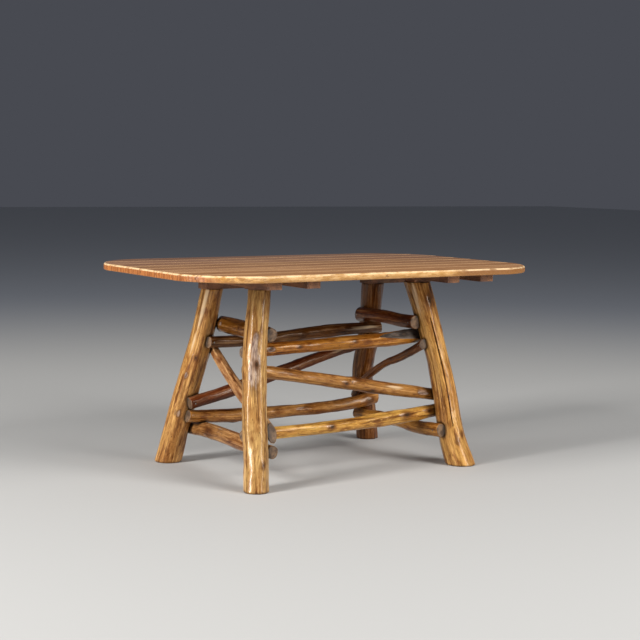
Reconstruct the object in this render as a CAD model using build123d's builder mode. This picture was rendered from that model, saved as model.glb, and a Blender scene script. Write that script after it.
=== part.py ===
from build123d import *
import os
from typing import NamedTuple

# A rustic dining table: a plank top on four splayed, peeled hickory legs, tied together by
# twelve peeled poles nailed to the inner sides of the legs.
# Millimetres. +X runs along the table, -Y is the front, +Z is up.
# The origin is on the floor, under the middle of the top.

# ---- plank top -----------------------------------------------------------------------
TABLE_HEIGHT = 762.0
TOP_LENGTH = 1510.0
BOARD_WIDTHS = (128.0, 112.0, 110.0, 111.0, 107.0, 117.0, 125.0, 130.0)
BOARD_THICKNESS = 24.0
TOP_WIDTH = sum(BOARD_WIDTHS)
CORNER_RUN_X = 210.0
CORNER_RUN_Y = 212.0
CORNER_BULGE = 46.0
TOP_ROUND_OVER = 9.0
BOTTOM_EASE = 2.0
V_GROOVE = 2.5
TONGUE_THICKNESS = 8.0
TONGUE_LENGTH = 7.0

# ---- battens, cleats and head blocks under the top -----------------------------------
UNDER_DEPTH = 28.0
BATTEN_LENGTH = 840.0
INNER_BATTEN_X = 283.0
INNER_BATTEN_WIDTH = 55.0
CLEAT_WIDTH = 102.0
CLEAT_LENGTH = 460.0
OUTER_BATTEN_WIDTH = 60.0
HEAD_BLOCK_WIDTH = 64.0
BLOCK_SCREW_OUT = 31.0

# ---- legs ----------------------------------------------------------------------------
FOOT_SPREAD_X = 469.0
FOOT_SPREAD_Y = 308.0
HEAD_SPREAD_X = 364.0
HEAD_SPREAD_Y = 149.0
LEG_STATIONS = (0.0, 0.17, 0.43, 0.68, 1.0)
SWAY_X = 0.82
SWAY_Y = -0.57
TENON_DIAMETER = 34.0
TENON_END_GAP = 10.0
TENON_ROOT_SHARE = 0.5
PIN_DIAMETER = 8.0
FOOT_EASE = 3.0

# ---- rails ---------------------------------------------------------------------------
NOTCH_DEPTH = 8.0

# ---- fasteners -----------------------------------------------------------------------
SCREW_DIAMETER = 4.5
SCREW_HEAD_DIAMETER = 9.0
SCREW_HEAD_HEIGHT = 3.0
SCREW_LENGTH = 42.0
SCREW_END_MARGIN = 25.0
NAIL_DIAMETER = 3.6
NAIL_HEAD_DIAMETER = 5.4
NAIL_HEAD_HEIGHT = 1.8
NAIL_HEAD_PROUD = 0.4
NAIL_BORE_ROOM = 8.0
NAIL_GRIP = 34.0
NAIL_END_MARGIN = 14.0

UNDER_TOP = TABLE_HEIGHT - BOARD_THICKNESS
UNDER_BATTENS = UNDER_TOP - UNDER_DEPTH
INNER_BATTEN_MID = INNER_BATTEN_X + INNER_BATTEN_WIDTH / 2
CLEAT_MID = INNER_BATTEN_X + INNER_BATTEN_WIDTH + CLEAT_WIDTH / 2
OUTER_BATTEN_MID = CLEAT_MID + CLEAT_WIDTH / 2 + OUTER_BATTEN_WIDTH / 2


class Leg(NamedTuple):
    """A peeled hickory leg: which corner it stands at, and how the tree grew.

    `block_depth` is the thickness of its head block, and `block_reach` how far the block runs
    from the leg towards -X and towards +X.
    """
    side_x: int
    side_y: int
    foot_shift: tuple
    head_shift: tuple
    block_depth: float
    block_reach: tuple
    radii: tuple
    sway: tuple


class Rail(NamedTuple):
    """A peeled pole from leg `start` to leg `end`, on their inner side (`inward`).

    `heights` and `radii` are even stations from end to end of the pole. `overhangs` is how
    far each end runs past its leg's axis.
    """
    start: str
    end: str
    inward: tuple
    heights: tuple
    radii: tuple
    overhangs: tuple


LEGS = {
    "leg_back_left": Leg(
        -1, 1, (-5, -3), (0, -16), 42, (42, 125), (50, 48, 46.5, 42.5, 41), (0, 0, 2, 8, 0)
    ),
    "leg_front_left": Leg(
        -1, -1, (6, -3), (4, -3), 20, (42, 34), (45, 44.5, 43.5, 42.5, 40), (0, -3, -11, -12, 0)
    ),
    "leg_front_right": Leg(
        1, -1, (-6, 2), (-5, 24), 18, (34, 42), (54.5, 48.5, 45, 42, 48), (0, -6, 7, 9, 0)
    ),
    "leg_back_right": Leg(
        1, 1, (7, 2), (3, -2), 46, (42, 150), (43.5, 42.5, 42, 43, 43.5), (0, -9, -27, -8, 2)
    ),
}

FRONT = ("leg_front_left", "leg_front_right", (0, 1))
BACK = ("leg_back_left", "leg_back_right", (0, -1))
LEFT = ("leg_front_left", "leg_back_left", (1, 0))
RIGHT = ("leg_front_right", "leg_back_right", (-1, 0))

RAILS = {
    "rail_front_upper": Rail(*FRONT, (467, 471, 473, 477, 484), (23.5, 23.5, 24.5, 26.5, 28), (7, 22)),
    "rail_front_middle": Rail(
        *FRONT, (408, 382, 355, 329, 301, 276, 251), (22, 23, 22.5, 24, 24, 23, 22), (7, 20)
    ),
    "rail_front_lower": Rail(*FRONT, (180, 176, 178, 185, 198), (23, 22.5, 23.5, 27, 25.5), (8, 20)),
    "rail_back_upper": Rail(*BACK, (470, 465, 475, 485, 487), (20.5, 22, 24, 23.5, 20.5), (0, 16)),
    "rail_back_diagonal": Rail(*BACK, (234, 283, 336, 389, 432), (22, 25, 23, 21, 20), (8, -14)),
    "rail_back_lower": Rail(
        *BACK, (187, 175, 168, 166, 166, 170, 188), (23, 24.5, 25, 24, 24.5, 25, 26), (4, 17)
    ),
    "rail_left_upper": Rail(*LEFT, (529, 528, 530, 533), (24.5, 29, 31, 31.5), (9, -12)),
    "rail_left_diagonal": Rail(*LEFT, (190, 251, 313, 379, 452), (21.5, 22, 21, 19.5, 18), (18, 8)),
    "rail_left_lower": Rail(*LEFT, (129, 126, 133, 134, 125), (24, 25.5, 27, 27, 24), (15, 10)),
    "rail_right_upper": Rail(*RIGHT, (539, 540, 542, 541, 538), (26.5, 25.5, 25.5, 26, 27), (2, -4)),
    "rail_right_diagonal": Rail(
        *RIGHT, (459, 419, 384, 356, 314, 262, 192), (18, 17.5, 15, 14.5, 14.5, 15.5, 15.5), (3, 5)
    ),
    "rail_right_lower": Rail(*RIGHT, (136, 127, 130, 124, 117), (24.5, 25, 23.5, 22.5, 21), (22, -5)),
}


def blend(values, fraction):
    """The value at a fraction (0 to 1) of a run of evenly spaced values."""
    place = min(max(fraction, 0.0), 1.0) * (len(values) - 1)
    first = min(int(place), len(values) - 2)
    return values[first] + (values[first + 1] - values[first]) * (place - first)


def head_height(leg):
    """Where the leg's shoulder meets its head block."""
    return UNDER_BATTENS - leg.block_depth


def along_leg(leg, values, height):
    """A value listed at LEG_STATIONS, read at a height above the floor."""
    fraction = min(max(height / head_height(leg), 0.0), 1.0)
    for low, high, first, last in zip(LEG_STATIONS, LEG_STATIONS[1:], values, values[1:]):
        if fraction <= high:
            return first + (last - first) * (fraction - low) / (high - low)
    return values[-1]


def leg_axis(leg, height):
    """The middle of the leg at a height above the floor."""
    rise = height / UNDER_TOP
    foot_x = leg.side_x * FOOT_SPREAD_X + leg.foot_shift[0]
    foot_y = leg.side_y * FOOT_SPREAD_Y + leg.foot_shift[1]
    head_x = leg.side_x * HEAD_SPREAD_X + leg.head_shift[0]
    head_y = leg.side_y * HEAD_SPREAD_Y + leg.head_shift[1]
    sway = along_leg(leg, leg.sway, height)
    return Vector(
        foot_x + (head_x - foot_x) * rise + SWAY_X * sway,
        foot_y + (head_y - foot_y) * rise + SWAY_Y * sway,
        height,
    )


def rail_station(rail, fraction):
    """The middle and the radius of a rail at a fraction of its length."""
    run = Vector(abs(rail.inward[1]), abs(rail.inward[0]), 0)
    first = leg_axis(LEGS[rail.start], rail.heights[0]).dot(run) - rail.overhangs[0]
    last = leg_axis(LEGS[rail.end], rail.heights[-1]).dot(run) + rail.overhangs[1]
    height = blend(rail.heights, fraction)
    radius = blend(rail.radii, fraction)
    inward = Vector(*rail.inward, 0)
    beside = []
    for name in (rail.start, rail.end):
        leg = LEGS[name]
        leg_radius = along_leg(leg, leg.radii, height)
        beside.append(leg_axis(leg, height).dot(inward) + leg_radius + radius - NOTCH_DEPTH)
    across = beside[0] + (beside[1] - beside[0]) * fraction
    middle = run * (first + (last - first) * fraction) + inward * across + Vector(0, 0, height)
    return middle, radius


def rail_fraction(rail, place):
    """The fraction of the rail's length at a place along its run."""
    run = Vector(abs(rail.inward[1]), abs(rail.inward[0]), 0)
    first = rail_station(rail, 0.0)[0].dot(run)
    last = rail_station(rail, 1.0)[0].dot(run)
    return (place - first) / (last - first)


def nail_spots(rail):
    """Where the nail at each end of a rail crosses the rail's axis."""
    run = Vector(abs(rail.inward[1]), abs(rail.inward[0]), 0)
    spots = []
    for name, overhang, fraction, sense in (
        (rail.start, rail.overhangs[0], 0.0, 1),
        (rail.end, rail.overhangs[1], 1.0, -1),
    ):
        end = rail_station(rail, fraction)[0].dot(run)
        place = end + sense * max(overhang, NAIL_END_MARGIN)
        spots.append(rail_station(rail, rail_fraction(rail, place)))
    return spots


def board_middles():
    """The middle of each board across the table."""
    edge = -TOP_WIDTH / 2
    middles = []
    for width in BOARD_WIDTHS:
        middles.append(edge + width / 2)
        edge += width
    return middles


# ---- fasteners -----------------------------------------------------------------------
def screw_group(places, depth, upward):
    """Countersunk screws, their heads flush with the plane at `depth`."""
    turn = 0 if upward else 180
    with BuildPart() as screws:
        with Locations(*[Location((x, y, depth), (turn, 0, 0)) for x, y in places]):
            Cylinder(SCREW_DIAMETER / 2, SCREW_LENGTH, align=(Align.CENTER, Align.CENTER, Align.MIN))
            Cone(
                SCREW_HEAD_DIAMETER / 2,
                SCREW_DIAMETER / 2,
                SCREW_HEAD_HEIGHT,
                align=(Align.CENTER, Align.CENTER, Align.MIN),
            )
    return screws


def batten_screw_places():
    """One screw into every board along each batten."""
    reach = BATTEN_LENGTH / 2 - SCREW_END_MARGIN
    places = []
    for x in (-OUTER_BATTEN_MID, -INNER_BATTEN_MID, INNER_BATTEN_MID, OUTER_BATTEN_MID):
        for y in board_middles():
            places.append((x, min(max(y, -reach), reach)))
    return places


def cleat_screw_places():
    """One screw into every board that a leg cleat lies under from edge to edge."""
    reach = CLEAT_LENGTH / 2 - SCREW_END_MARGIN
    places = []
    for side in (-1, 1):
        for y in board_middles():
            if abs(y) < reach:
                places.append((side * (CLEAT_MID + CLEAT_WIDTH / 4), y))
    return places


def block_middle(leg):
    """The middle of a leg's head block, over the leg's shoulder."""
    return leg_axis(leg, head_height(leg))


def block_screw_places():
    """Two screws through the cleat into each head block, outside the tenon."""
    places = []
    for leg in LEGS.values():
        middle = block_middle(leg)
        for step in (-HEAD_BLOCK_WIDTH / 3, HEAD_BLOCK_WIDTH / 3):
            places.append((middle.X + leg.side_x * BLOCK_SCREW_OUT, middle.Y + step))
    return places


batten_screws = screw_group(batten_screw_places(), UNDER_BATTENS, True)
batten_screws.part.label = "batten_screws"

cleat_screws = screw_group(cleat_screw_places(), UNDER_BATTENS, True)
cleat_screws.part.label = "cleat_screws"

block_screws = screw_group(block_screw_places(), UNDER_TOP, False)
block_screws.part.label = "block_screws"

with BuildPart() as leg_pins:
    for leg in LEGS.values():
        height = head_height(leg) + leg.block_depth / 2
        middle = leg_axis(leg, height)
        block_y = block_middle(leg).Y
        with Locations(Location((middle.X, block_y, height), (90, 0, 0))):
            Cylinder(PIN_DIAMETER / 2, HEAD_BLOCK_WIDTH)
leg_pins.part.label = "leg_pins"


def nail_group(head_room):
    """The nails through the rails into the legs, their heads lengthened outwards by `head_room`."""
    with BuildPart() as nails:
        for rail in RAILS.values():
            inward = Vector(*rail.inward, 0)
            for middle, radius in nail_spots(rail):
                head = middle + inward * (radius + NAIL_HEAD_PROUD)
                length = NAIL_HEAD_PROUD + 2 * radius - NOTCH_DEPTH + NAIL_GRIP
                with Locations(Plane(origin=head, z_dir=inward * -1)):
                    Cylinder(NAIL_DIAMETER / 2, length, align=(Align.CENTER, Align.CENTER, Align.MIN))
                seat = head - inward * NAIL_HEAD_HEIGHT
                with Locations(Plane(origin=seat, z_dir=inward)):
                    Cylinder(
                        NAIL_HEAD_DIAMETER / 2,
                        NAIL_HEAD_HEIGHT + head_room,
                        align=(Align.CENTER, Align.CENTER, Align.MIN),
                    )
    return nails


rail_nails = nail_group(0)
rail_nails.part.label = "rail_nails"

nail_bores = nail_group(NAIL_BORE_ROOM)


# ---- plank top -----------------------------------------------------------------------
with BuildPart() as top_slab:
    half_x = TOP_LENGTH / 2
    half_y = TOP_WIDTH / 2
    turn_x = half_x - CORNER_RUN_X
    turn_y = half_y - CORNER_RUN_Y
    with BuildSketch(Plane.XY.offset(UNDER_TOP)):
        with BuildLine():
            Line((-turn_x, -half_y), (turn_x, -half_y))
            SagittaArc((turn_x, -half_y), (half_x, -turn_y), -CORNER_BULGE)
            Line((half_x, -turn_y), (half_x, turn_y))
            SagittaArc((half_x, turn_y), (turn_x, half_y), -CORNER_BULGE)
            Line((turn_x, half_y), (-turn_x, half_y))
            SagittaArc((-turn_x, half_y), (-half_x, turn_y), -CORNER_BULGE)
            Line((-half_x, turn_y), (-half_x, -turn_y))
            SagittaArc((-half_x, -turn_y), (-turn_x, -half_y), -CORNER_BULGE)
        make_face()
    extrude(amount=BOARD_THICKNESS)
    fillet(top_slab.faces().sort_by(Axis.Z)[-1].edges(), TOP_ROUND_OVER)
    chamfer(top_slab.faces().sort_by(Axis.Z)[0].edges(), BOTTOM_EASE)


def board_profile(near, far, tongue, groove):
    """The end outline of a board: a V arris at each seam, a tongue and a groove."""
    low = UNDER_TOP
    high = TABLE_HEIGHT
    middle = (low + high) / 2
    tongue_low = middle - TONGUE_THICKNESS / 2
    tongue_high = middle + TONGUE_THICKNESS / 2
    outline = [(near, low), (far, low)]
    if tongue:
        outline += [(far, tongue_low), (far + TONGUE_LENGTH, tongue_low)]
        outline += [(far + TONGUE_LENGTH, tongue_high), (far, tongue_high)]
        outline += [(far, high - V_GROOVE), (far - V_GROOVE, high)]
    else:
        outline += [(far, high)]
    if groove:
        outline += [(near + V_GROOVE, high), (near, high - V_GROOVE)]
        outline += [(near, tongue_high), (near + TONGUE_LENGTH, tongue_high)]
        outline += [(near + TONGUE_LENGTH, tongue_low), (near, tongue_low)]
    else:
        outline += [(near, high)]
    return outline


def make_board(index):
    """One board of the top, counted from the front."""
    near = -TOP_WIDTH / 2 + sum(BOARD_WIDTHS[:index])
    far = near + BOARD_WIDTHS[index]
    outline = board_profile(near, far, index < len(BOARD_WIDTHS) - 1, index > 0)
    with BuildPart() as board:
        with BuildSketch(Plane.YZ.offset(-TOP_LENGTH / 2)):
            with BuildLine():
                Polyline(*outline, close=True)
            make_face()
        extrude(amount=TOP_LENGTH)
        add(top_slab.part, mode=Mode.INTERSECT)
        add(batten_screws.part, mode=Mode.SUBTRACT)
        add(cleat_screws.part, mode=Mode.SUBTRACT)
    board.part.label = f"top_board_{index + 1}"
    return board


# ---- battens, cleats and head blocks -------------------------------------------------
def make_batten(name, x, width):
    """A batten across the boards, screwed up into each of them."""
    with BuildPart() as batten:
        with Locations((x, 0, UNDER_BATTENS)):
            Box(width, BATTEN_LENGTH, UNDER_DEPTH, align=(Align.CENTER, Align.CENTER, Align.MIN))
        add(batten_screws.part, mode=Mode.SUBTRACT)
    batten.part.label = name
    return batten


def leg_tenon(leg):
    """The round tenon on a leg's head, along the leg's own axis."""
    shoulder = leg_axis(leg, head_height(leg))
    tip = leg_axis(leg, UNDER_TOP - TENON_END_GAP)
    root = shoulder - (tip - shoulder) * TENON_ROOT_SHARE
    with BuildPart() as tenon:
        with Locations(Plane(origin=root, z_dir=tip - root)):
            Cylinder(
                TENON_DIAMETER / 2,
                (tip - root).length,
                align=(Align.CENTER, Align.CENTER, Align.MIN),
            )
    return tenon


def make_cleat(name, side):
    """The wide cleat between two battens that takes the tenons of two legs."""
    with BuildPart() as cleat:
        with Locations((side * CLEAT_MID, 0, UNDER_BATTENS)):
            Box(CLEAT_WIDTH, CLEAT_LENGTH, UNDER_DEPTH, align=(Align.CENTER, Align.CENTER, Align.MIN))
        add(cleat_screws.part, mode=Mode.SUBTRACT)
        add(block_screws.part, mode=Mode.SUBTRACT)
        for leg in LEGS.values():
            if leg.side_x == side:
                add(leg_tenon(leg).part, mode=Mode.SUBTRACT)
    cleat.part.label = name
    return cleat


def make_head_block(name, leg):
    """The block between a leg's shoulder and the cleat."""
    middle = block_middle(leg)
    low, high = leg.block_reach
    with BuildPart() as block:
        with Locations((middle.X - low, middle.Y, head_height(leg))):
            Box(
                low + high,
                HEAD_BLOCK_WIDTH,
                leg.block_depth,
                align=(Align.MIN, Align.CENTER, Align.MIN),
            )
        add(leg_tenon(leg).part, mode=Mode.SUBTRACT)
        add(block_screws.part, mode=Mode.SUBTRACT)
        add(leg_pins.part, mode=Mode.SUBTRACT)
    block.part.label = name
    return block


# ---- legs and rails ------------------------------------------------------------------
def make_leg(name, leg):
    """A tapering, swaying pole with a flat foot and a tenon on its head."""
    outward = (leg.side_x, leg.side_y, 0)
    with BuildPart() as post:
        for station, radius in zip(LEG_STATIONS, leg.radii):
            height = station * head_height(leg)
            with BuildSketch(Plane(origin=leg_axis(leg, height), x_dir=outward, z_dir=(0, 0, 1))):
                Circle(radius)
        loft()
        chamfer(post.faces().sort_by(Axis.Z)[0].edges(), FOOT_EASE)
        add(leg_tenon(leg).part)
        add(rail_nails.part, mode=Mode.SUBTRACT)
        add(leg_pins.part, mode=Mode.SUBTRACT)
    post.part.label = name
    return post


def make_rail(name, rail, crossed):
    """A bending pole, scribed to the two legs and to the rails that it crosses."""
    count = len(rail.heights)
    stations = [rail_station(rail, index / (count - 1)) for index in range(count)]
    middles = [middle for middle, radius in stations]
    ahead = middles[1:] + middles[-1:]
    behind = middles[:1] + middles[:-1]
    with BuildPart() as pole:
        for (middle, radius), after, before in zip(stations, ahead, behind):
            with BuildSketch(Plane(origin=middle, x_dir=(0, 0, -1), z_dir=after - before)):
                Circle(radius)
        loft()
        add(legs[rail.start].part, mode=Mode.SUBTRACT)
        add(legs[rail.end].part, mode=Mode.SUBTRACT)
        for other in crossed:
            add(other.part, mode=Mode.SUBTRACT)
        add(nail_bores.part, mode=Mode.SUBTRACT)
    pole.part.label = name
    return pole


boards = [make_board(index) for index in range(len(BOARD_WIDTHS))]

battens = [
    make_batten("batten_outer_left", -OUTER_BATTEN_MID, OUTER_BATTEN_WIDTH),
    make_batten("batten_inner_left", -INNER_BATTEN_MID, INNER_BATTEN_WIDTH),
    make_batten("batten_inner_right", INNER_BATTEN_MID, INNER_BATTEN_WIDTH),
    make_batten("batten_outer_right", OUTER_BATTEN_MID, OUTER_BATTEN_WIDTH),
]

cleats = [make_cleat("leg_cleat_left", -1), make_cleat("leg_cleat_right", 1)]

head_blocks = []
for leg_name, leg in LEGS.items():
    head_blocks.append(make_head_block(leg_name.replace("leg", "head_block"), leg))

legs = {}
for leg_name, leg in LEGS.items():
    legs[leg_name] = make_leg(leg_name, leg)

rails = {}
for rail_name, rail in RAILS.items():
    across = [rails[other] for other in rails if RAILS[other].inward[0] != rail.inward[0]]
    rails[rail_name] = make_rail(rail_name, rail, across)

pieces = boards + battens + cleats + head_blocks + list(legs.values()) + list(rails.values())
pieces += [batten_screws, cleat_screws, block_screws, leg_pins, rail_nails]

os.makedirs("parts", exist_ok=True)
for piece in pieces:
    export_step(piece.part, f"parts/{piece.part.label}.step")
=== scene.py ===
from collections import namedtuple
from math import atan2, hypot, pi, radians
from random import Random

import bpy
from mathutils import Matrix, Vector
from mathutils.bvhtree import BVHTree
from mathutils.kdtree import KDTree


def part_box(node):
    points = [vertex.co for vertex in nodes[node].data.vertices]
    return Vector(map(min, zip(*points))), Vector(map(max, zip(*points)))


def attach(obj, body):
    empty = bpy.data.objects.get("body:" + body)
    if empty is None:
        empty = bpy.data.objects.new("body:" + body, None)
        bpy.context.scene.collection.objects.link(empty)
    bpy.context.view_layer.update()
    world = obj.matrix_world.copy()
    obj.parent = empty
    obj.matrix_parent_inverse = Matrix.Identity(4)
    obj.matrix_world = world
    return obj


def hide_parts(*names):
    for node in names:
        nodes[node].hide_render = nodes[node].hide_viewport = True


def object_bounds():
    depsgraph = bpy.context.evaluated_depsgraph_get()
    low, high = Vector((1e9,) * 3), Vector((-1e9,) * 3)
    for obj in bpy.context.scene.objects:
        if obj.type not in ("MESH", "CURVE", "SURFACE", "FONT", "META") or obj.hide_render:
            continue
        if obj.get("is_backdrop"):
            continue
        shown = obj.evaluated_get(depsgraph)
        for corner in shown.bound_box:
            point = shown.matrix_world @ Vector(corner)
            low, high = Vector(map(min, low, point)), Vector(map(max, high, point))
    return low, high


# A rustic dining table: varnished hickory planks on four splayed, peeled hickory legs, tied
# together by twelve peeled poles. Metres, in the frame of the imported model.

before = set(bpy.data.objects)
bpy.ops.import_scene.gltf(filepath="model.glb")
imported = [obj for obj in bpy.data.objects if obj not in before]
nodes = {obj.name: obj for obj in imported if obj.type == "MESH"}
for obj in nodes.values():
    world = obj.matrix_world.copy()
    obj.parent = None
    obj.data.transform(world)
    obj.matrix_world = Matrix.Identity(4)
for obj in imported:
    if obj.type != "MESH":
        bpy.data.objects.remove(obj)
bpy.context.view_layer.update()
bpy.ops.object.select_all(action="DESELECT")

MM = 0.001


# ---- small helpers -------------------------------------------------------------------
# A Map Range node with soft ends, and a Mix node that mixes colours: its inputs are 0 for the
# amount, 6 and 7 for the colours, and its output is 2.
SOFTLY = {"interpolation_type": "SMOOTHSTEP"}
COLOURS = {"output": 2, "data_type": "RGBA"}


def linear(hex_colour):
    """An sRGB hex colour as linear red, green, blue and alpha."""
    channels = []
    for start in (1, 3, 5):
        value = int(hex_colour[start:start + 2], 16) / 255
        channels.append(value / 12.92 if value <= 0.04045 else ((value + 0.055) / 1.055) ** 2.4)
    return (*channels, 1.0)


def add_node(tree, kind, inputs=(), output=0, **settings):
    """Adds a shader node and gives one of its outputs. An input is a socket to link, a hex
    colour or a plain value, for the node's sockets in order or by their name or number."""
    node = tree.nodes.new("ShaderNode" + kind)
    for key, value in settings.items():
        setattr(node, key, value)
    named = inputs if isinstance(inputs, dict) else dict(enumerate(inputs))
    for key, value in named.items():
        socket = node.inputs[key]
        if isinstance(value, bpy.types.NodeSocket):
            tree.links.new(value, socket)
        else:
            socket.default_value = linear(value) if isinstance(value, str) else value
    return node.outputs[output] if node.outputs else None


def new_material(name):
    """An empty node material and its tree."""
    material = bpy.data.materials.new(name)
    material.use_nodes = True
    material.node_tree.nodes.clear()
    return material, material.node_tree


def blotches(tree, place, size, detail, roughness=0.55, offset=(0, 0, 0)):
    """A soft random pattern, 0 to 1, whose blotches have a real size in millimetres."""
    scale = [1 / (side * MM) for side in size]
    place = add_node(tree, "Mapping", {"Vector": place, "Location": offset, "Scale": scale})
    fineness = {"Scale": 1.0, "Detail": detail, "Roughness": roughness}
    return add_node(tree, "TexNoise", {"Vector": place, **fineness}, output="Fac")


def coated(tree, colour, *coats):
    """Lays coats of colour over a colour. A coat has the mask it follows, the mask's values
    where it starts and where it is full, how much it covers there, its tint and its blending."""
    for mask, start, full, cover, tint, *blending in coats:
        mode = blending[0] if blending else "MIX"
        amount = add_node(tree, "MapRange", (mask, start, full, 0.0, cover), **SOFTLY)
        colour = add_node(tree, "Mix", {0: amount, 6: colour, 7: tint}, blend_type=mode, **COLOURS)
    return colour


# ---- the poles' routes, as the model has them, in millimetres --------------------------
UNDER_TOP = 738.0
UNDER_BATTENS = 710.0
# How far the legs' middles stand from the middle of the table, in x and y.
FOOT_SPREAD = (469.0, 308.0)
HEAD_SPREAD = (364.0, 149.0)
# The shares of a leg's height where its radii and its sway are listed, and which way it sways.
LEG_STATIONS = (0.0, 0.17, 0.43, 0.68, 1.0)
SWAY = (0.82, -0.57)
# How deep a rail is let into a leg.
NOTCH_DEPTH = 8.0

# A rail's heights and radii are listed evenly along it, and it overhangs the middle of the leg
# at each of its ends.
Leg = namedtuple("Leg", "side_x side_y foot_shift head_shift block_depth radii sway")
Rail = namedtuple("Rail", "start end inward heights radii overhangs")

LEGS = {
    "leg_back_left": Leg(-1, 1, (-5, -3), (0, -16), 42, (50, 48, 46.5, 42.5, 41), (0, 0, 2, 8, 0)),
    "leg_front_left": Leg(-1, -1, (6, -3), (4, -3), 20, (45, 44.5, 43.5, 42.5, 40), (0, -3, -11, -12, 0)),
    "leg_front_right": Leg(1, -1, (-6, 2), (-5, 24), 18, (54.5, 48.5, 45, 42, 48), (0, -6, 7, 9, 0)),
    "leg_back_right": Leg(1, 1, (7, 2), (3, -2), 46, (43.5, 42.5, 42, 43, 43.5), (0, -9, -27, -8, 2)),
}

FRONT = ("leg_front_left", "leg_front_right", (0, 1))
BACK = ("leg_back_left", "leg_back_right", (0, -1))
LEFT = ("leg_front_left", "leg_back_left", (1, 0))
RIGHT = ("leg_front_right", "leg_back_right", (-1, 0))

RAILS = {
    "rail_front_upper": Rail(*FRONT, (467, 471, 473, 477, 484), (23.5, 23.5, 24.5, 26.5, 28), (7, 22)),
    "rail_front_middle": Rail(
        *FRONT, (408, 382, 355, 329, 301, 276, 251), (22, 23, 22.5, 24, 24, 23, 22), (7, 20)
    ),
    "rail_front_lower": Rail(*FRONT, (180, 176, 178, 185, 198), (23, 22.5, 23.5, 27, 25.5), (8, 20)),
    "rail_back_upper": Rail(*BACK, (470, 465, 475, 485, 487), (20.5, 22, 24, 23.5, 20.5), (0, 16)),
    "rail_back_diagonal": Rail(*BACK, (234, 283, 336, 389, 432), (22, 25, 23, 21, 20), (8, -14)),
    "rail_back_lower": Rail(
        *BACK, (187, 175, 168, 166, 166, 170, 188), (23, 24.5, 25, 24, 24.5, 25, 26), (4, 17)
    ),
    "rail_left_upper": Rail(*LEFT, (529, 528, 530, 533), (24.5, 29, 31, 31.5), (9, -12)),
    "rail_left_diagonal": Rail(*LEFT, (190, 251, 313, 379, 452), (21.5, 22, 21, 19.5, 18), (18, 8)),
    "rail_left_lower": Rail(*LEFT, (129, 126, 133, 134, 125), (24, 25.5, 27, 27, 24), (15, 10)),
    "rail_right_upper": Rail(*RIGHT, (539, 540, 542, 541, 538), (26.5, 25.5, 25.5, 26, 27), (2, -4)),
    "rail_right_diagonal": Rail(
        *RIGHT, (459, 419, 384, 356, 314, 262, 192), (18, 17.5, 15, 14.5, 14.5, 15.5, 15.5), (3, 5)
    ),
    "rail_right_lower": Rail(*RIGHT, (136, 127, 130, 124, 117), (24.5, 25, 23.5, 22.5, 21), (22, -5)),
}


def blend(values, fraction):
    """The value at a fraction (0 to 1) of a run of evenly spaced values."""
    place = min(max(fraction, 0.0), 1.0) * (len(values) - 1)
    first = min(int(place), len(values) - 2)
    return values[first] + (values[first + 1] - values[first]) * (place - first)


def along_leg(leg, values, height):
    """A value listed at LEG_STATIONS, read at a height above the floor."""
    fraction = min(max(height / (UNDER_BATTENS - leg.block_depth), 0.0), 1.0)
    for low, high, first, last in zip(LEG_STATIONS, LEG_STATIONS[1:], values, values[1:]):
        if fraction <= high:
            return first + (last - first) * (fraction - low) / (high - low)
    return values[-1]


def leg_axis(leg, height):
    """The middle of the leg at a height above the floor."""
    rise = height / UNDER_TOP
    sway = along_leg(leg, leg.sway, height)
    place = []
    for side, foot, head, foot_shift, head_shift, lean in zip(
        (leg.side_x, leg.side_y), FOOT_SPREAD, HEAD_SPREAD, leg.foot_shift, leg.head_shift, SWAY
    ):
        low = side * foot + foot_shift
        high = side * head + head_shift
        place.append(low + (high - low) * rise + lean * sway)
    return Vector((*place, height))


def rail_station(rail, fraction):
    """The middle and the radius of a rail at a fraction of its length."""
    run = Vector((abs(rail.inward[1]), abs(rail.inward[0]), 0))
    inward = Vector((*rail.inward, 0))
    first = leg_axis(LEGS[rail.start], rail.heights[0]).dot(run) - rail.overhangs[0]
    last = leg_axis(LEGS[rail.end], rail.heights[-1]).dot(run) + rail.overhangs[1]
    height = blend(rail.heights, fraction)
    radius = blend(rail.radii, fraction)
    beside = []
    for name in (rail.start, rail.end):
        leg = LEGS[name]
        leg_radius = along_leg(leg, leg.radii, height)
        beside.append(leg_axis(leg, height).dot(inward) + leg_radius + radius - NOTCH_DEPTH)
    across = beside[0] + (beside[1] - beside[0]) * fraction
    return run * (first + (last - first) * fraction) + inward * across + Vector((0, 0, height)), radius


# ---- what the trees and the maker left on the poles, and painted highlights, in millimetres ---
# Knots: a place on the skin, and how wide the knot is.
KNOTS = {
    "leg_back_left": [((-430, 170, 409), 9), ((-474, 250, 118), 11)],
    "leg_front_left": [((-429, -251, 436), 10), ((-452, -335, 96), 8)],
    "leg_front_right": [((375, -201, 626), 17), ((452, -330, 120), 9)],
    "leg_back_right": [((420, 205, 330), 10)],
    "rail_front_upper": [((-190, -164, 474), 7), ((60, -160, 480), 7), ((-318, -168, 476), 8)],
    "rail_front_middle": [((-2, -195, 330), 8), ((54, -185, 342), 12), ((119, -195, 294), 10)],
    "rail_front_lower": [((-87, -228, 181), 10), ((265, -221, 194), 13), ((374, -219, 200), 9)],
    "rail_back_upper": [((10, 118, 476), 9)],
    "rail_back_lower": [((395, 193, 182), 15), ((-60, 196, 176), 8)],
    "rail_left_lower": [((-412, 101, 139), 15)],
    "rail_left_upper": [((-352, -20, 536), 9)],
    "rail_right_diagonal": [((412, 40, 352), 8)],
}
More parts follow.
